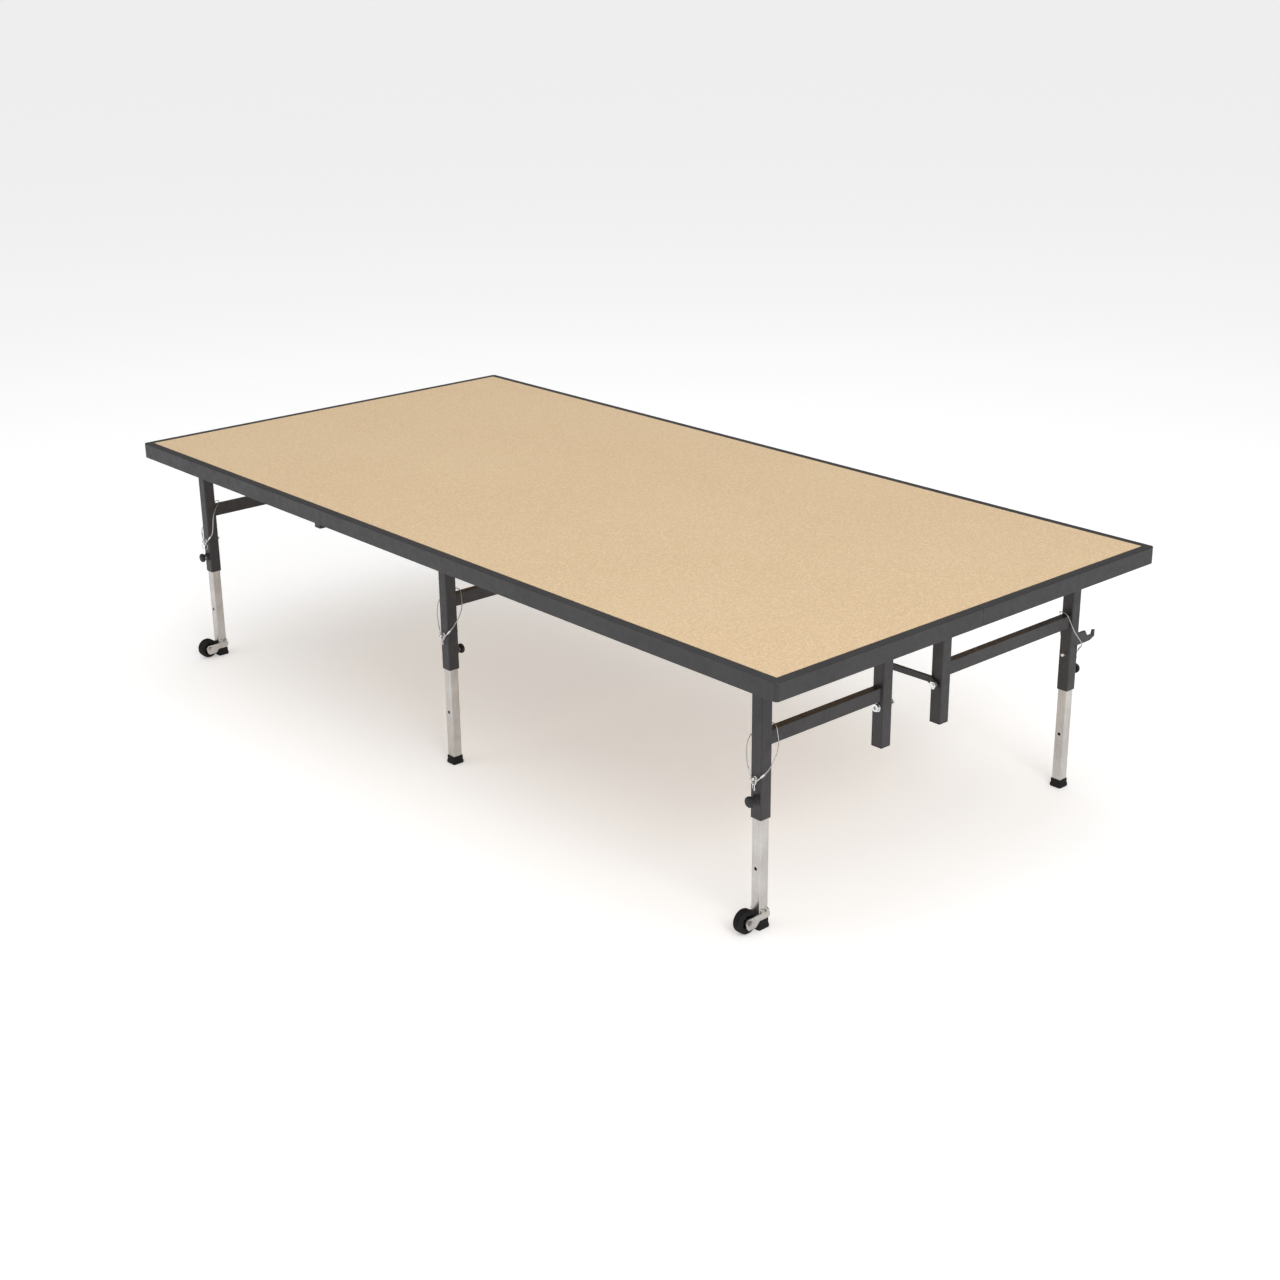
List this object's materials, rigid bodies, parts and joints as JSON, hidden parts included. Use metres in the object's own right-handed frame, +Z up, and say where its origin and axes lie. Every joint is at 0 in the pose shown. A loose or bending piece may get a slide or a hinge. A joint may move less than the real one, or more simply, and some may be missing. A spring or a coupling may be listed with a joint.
{
  "type": "stage riser platform",
  "caption": "Folding stage platform with a tan board deck in a black rim, three pairs of folding leg frames, telescoping legs with lock pins and knobs, rubber feet and transport wheels.",
  "frame": {"origin": "on the floor under the middle of the deck", "axes": "+X along the long side towards the end with the coupling hook, +Y across from the wheel side, +Z up"},
  "size_m": [2.4384, 1.2192, 0.6096],
  "materials": {
    "rail_black": "semi-gloss powder coat",
    "frame_black": "semi-gloss powder coat",
    "board_tan": "smooth tan hardboard",
    "plywood": "raw plywood",
    "zinc_steel": "bright zinc plate",
    "bright_steel": "plated",
    "rubber_black": "matt",
    "plastic_black": "satin moulded",
    "wire_rope": "stranded stainless wire rope"
  },
  "bodies": {
    "deck": {"near_rail": "rail_black", "far_rail": "rail_black", "deck_core": "plywood", "deck_surface": "board_tan", "cross_beams": "frame_black", "joists": "frame_black", "hinge_brackets": "frame_black", "brace_tracks": "frame_black", "deck_screws": "bright_steel", "pivot_bolts": "bright_steel"},
    "right_leg_set": {"right_near_frame": "frame_black", "right_far_frame": "frame_black", "right_stub_plugs": "plastic_black", "right_brace_bolts": "bright_steel", "right_near_lanyard": "wire_rope", "right_far_lanyard": "wire_rope", "coupling_hook": "frame_black"},
    "right_brace_bars": {"right_brace": "frame_black"},
    "right_near_leg": {"right_near_inner_leg": "zinc_steel", "right_near_foot": "rubber_black", "right_wheel_fork": "zinc_steel"},
    "right_near_pin": {"right_near_lock_pin": "bright_steel"},
    "right_near_knob": {"right_near_clamp_knob": "plastic_black"},
    "right_far_leg": {"right_far_inner_leg": "zinc_steel", "right_far_foot": "rubber_black"},
    "right_far_pin": {"right_far_lock_pin": "bright_steel"},
    "right_far_knob": {"right_far_clamp_knob": "plastic_black"},
    "mid_leg_set": {"mid_near_frame": "frame_black", "mid_far_frame": "frame_black", "mid_stub_plugs": "plastic_black", "mid_brace_bolts": "bright_steel", "mid_near_lanyard": "wire_rope", "mid_far_lanyard": "wire_rope"},
    "mid_brace_bars": {"mid_brace": "frame_black"},
    "mid_near_leg": {"mid_near_inner_leg": "zinc_steel", "mid_near_foot": "rubber_black"},
    "mid_near_pin": {"mid_near_lock_pin": "bright_steel"},
    "mid_near_knob": {"mid_near_clamp_knob": "plastic_black"},
    "mid_far_leg": {"mid_far_inner_leg": "zinc_steel", "mid_far_foot": "rubber_black"},
    "mid_far_pin": {"mid_far_lock_pin": "bright_steel"},
    "mid_far_knob": {"mid_far_clamp_knob": "plastic_black"},
    "left_leg_set": {"left_near_frame": "frame_black", "left_far_frame": "frame_black", "left_stub_plugs": "plastic_black", "left_brace_bolts": "bright_steel", "left_near_lanyard": "wire_rope", "left_far_lanyard": "wire_rope"},
    "left_brace_bars": {"left_brace": "frame_black"},
    "left_near_leg": {"left_near_inner_leg": "zinc_steel", "left_near_foot": "rubber_black", "left_wheel_fork": "zinc_steel"},
    "left_near_pin": {"left_near_lock_pin": "bright_steel"},
    "left_near_knob": {"left_near_clamp_knob": "plastic_black"},
    "left_far_leg": {"left_far_inner_leg": "zinc_steel", "left_far_foot": "rubber_black"},
    "left_far_pin": {"left_far_lock_pin": "bright_steel"},
    "left_far_knob": {"left_far_clamp_knob": "plastic_black"},
    "right_wheel_turn": {"right_wheel": "rubber_black"},
    "left_wheel_turn": {"left_wheel": "rubber_black"}
  },
  "joints": [
    {"name": "right_fold", "type": "hinge", "parent": "deck", "child": "right_leg_set", "pos_m": [1.058, 0, 0.562], "axis": [0, 1, 0], "range_deg": [0, 90]},
    {"name": "right_brace_pivot", "type": "hinge", "parent": "right_leg_set", "child": "right_brace_bars", "pos_m": [1.08, -0.051, 0.392], "axis": [0, 1, 0], "range_deg": [-115.8, 0]},
    {"name": "right_near_height", "type": "slide", "parent": "right_leg_set", "child": "right_near_leg", "axis": [0, 0, 1], "range_m": [0, 0.2032], "deforming": ["right_near_lock_pin"]},
    {"name": "right_near_pin_pull", "type": "slide", "parent": "right_leg_set", "child": "right_near_pin", "axis": [0, -1, 0], "range_m": [0, 0.045]},
    {"name": "right_near_knob_turn", "type": "hinge", "parent": "right_leg_set", "child": "right_near_knob", "pos_m": [1.08, -0.506, 0.293], "axis": [0, -1, 0], "range_deg": [0, 360]},
    {"name": "right_far_height", "type": "slide", "parent": "right_leg_set", "child": "right_far_leg", "axis": [0, 0, 1], "range_m": [0, 0.2032], "deforming": ["right_far_lock_pin"]},
    {"name": "right_far_pin_pull", "type": "slide", "parent": "right_leg_set", "child": "right_far_pin", "axis": [0, 1, 0], "range_m": [0, 0.045]},
    {"name": "right_far_knob_turn", "type": "hinge", "parent": "right_leg_set", "child": "right_far_knob", "pos_m": [1.08, 0.506, 0.293], "axis": [0, 1, 0], "range_deg": [0, 360]},
    {"name": "mid_fold", "type": "hinge", "parent": "deck", "child": "mid_leg_set", "pos_m": [-0.037, 0, 0.562], "axis": [0, 1, 0], "range_deg": [0, 90]},
    {"name": "mid_brace_pivot", "type": "hinge", "parent": "mid_leg_set", "child": "mid_brace_bars", "pos_m": [-0.015, -0.051, 0.392], "axis": [0, 1, 0], "range_deg": [-120.4, 0]},
    {"name": "mid_near_height", "type": "slide", "parent": "mid_leg_set", "child": "mid_near_leg", "axis": [0, 0, 1], "range_m": [0, 0.2032], "deforming": ["mid_near_lock_pin"]},
    {"name": "mid_near_pin_pull", "type": "slide", "parent": "mid_leg_set", "child": "mid_near_pin", "axis": [0, -1, 0], "range_m": [0, 0.045]},
    {"name": "mid_near_knob_turn", "type": "hinge", "parent": "mid_leg_set", "child": "mid_near_knob", "pos_m": [-0.015, -0.47, 0.293], "axis": [0, 1, 0], "range_deg": [0, 360]},
    {"name": "mid_far_height", "type": "slide", "parent": "mid_leg_set", "child": "mid_far_leg", "axis": [0, 0, 1], "range_m": [0, 0.2032], "deforming": ["mid_far_lock_pin"]},
    {"name": "mid_far_pin_pull", "type": "slide", "parent": "mid_leg_set", "child": "mid_far_pin", "axis": [0, 1, 0], "range_m": [0, 0.045]},
    {"name": "mid_far_knob_turn", "type": "hinge", "parent": "mid_leg_set", "child": "mid_far_knob", "pos_m": [-0.015, 0.47, 0.293], "axis": [0, -1, 0], "range_deg": [0, 360]},
    {"name": "left_fold", "type": "hinge", "parent": "deck", "child": "left_leg_set", "pos_m": [-1.058, 0, 0.562], "axis": [0, -1, 0], "range_deg": [0, 90]},
    {"name": "left_brace_pivot", "type": "hinge", "parent": "left_leg_set", "child": "left_brace_bars", "pos_m": [-1.08, -0.051, 0.392], "axis": [0, -1, 0], "range_deg": [-115.8, 0]},
    {"name": "left_near_height", "type": "slide", "parent": "left_leg_set", "child": "left_near_leg", "axis": [0, 0, 1], "range_m": [0, 0.2032], "deforming": ["left_near_lock_pin"]},
    {"name": "left_near_pin_pull", "type": "slide", "parent": "left_leg_set", "child": "left_near_pin", "axis": [0, -1, 0], "range_m": [0, 0.045]},
    {"name": "left_near_knob_turn", "type": "hinge", "parent": "left_leg_set", "child": "left_near_knob", "pos_m": [-1.08, -0.506, 0.293], "axis": [0, -1, 0], "range_deg": [0, 360]},
    {"name": "left_far_height", "type": "slide", "parent": "left_leg_set", "child": "left_far_leg", "axis": [0, 0, 1], "range_m": [0, 0.2032], "deforming": ["left_far_lock_pin"]},
    {"name": "left_far_pin_pull", "type": "slide", "parent": "left_leg_set", "child": "left_far_pin", "axis": [0, 1, 0], "range_m": [0, 0.045]},
    {"name": "left_far_knob_turn", "type": "hinge", "parent": "left_leg_set", "child": "left_far_knob", "pos_m": [-1.08, 0.506, 0.293], "axis": [0, 1, 0], "range_deg": [0, 360]},
    {"name": "right_wheel_spin", "type": "hinge", "parent": "right_near_leg", "child": "right_wheel_turn", "pos_m": [1.08, -0.5475, 0.0275], "axis": [1, 0, 0], "continuous": true},
    {"name": "left_wheel_spin", "type": "hinge", "parent": "left_near_leg", "child": "left_wheel_turn", "pos_m": [-1.08, -0.5475, 0.0275], "axis": [1, 0, 0], "continuous": true}
  ],
  "couplings": [
    {"joint": "right_brace_pivot", "follows": "right_fold", "ratio": -1.2848},
    {"joint": "mid_brace_pivot", "follows": "mid_fold", "ratio": -1.3355},
    {"joint": "left_brace_pivot", "follows": "left_fold", "ratio": -1.2848}
  ]
}
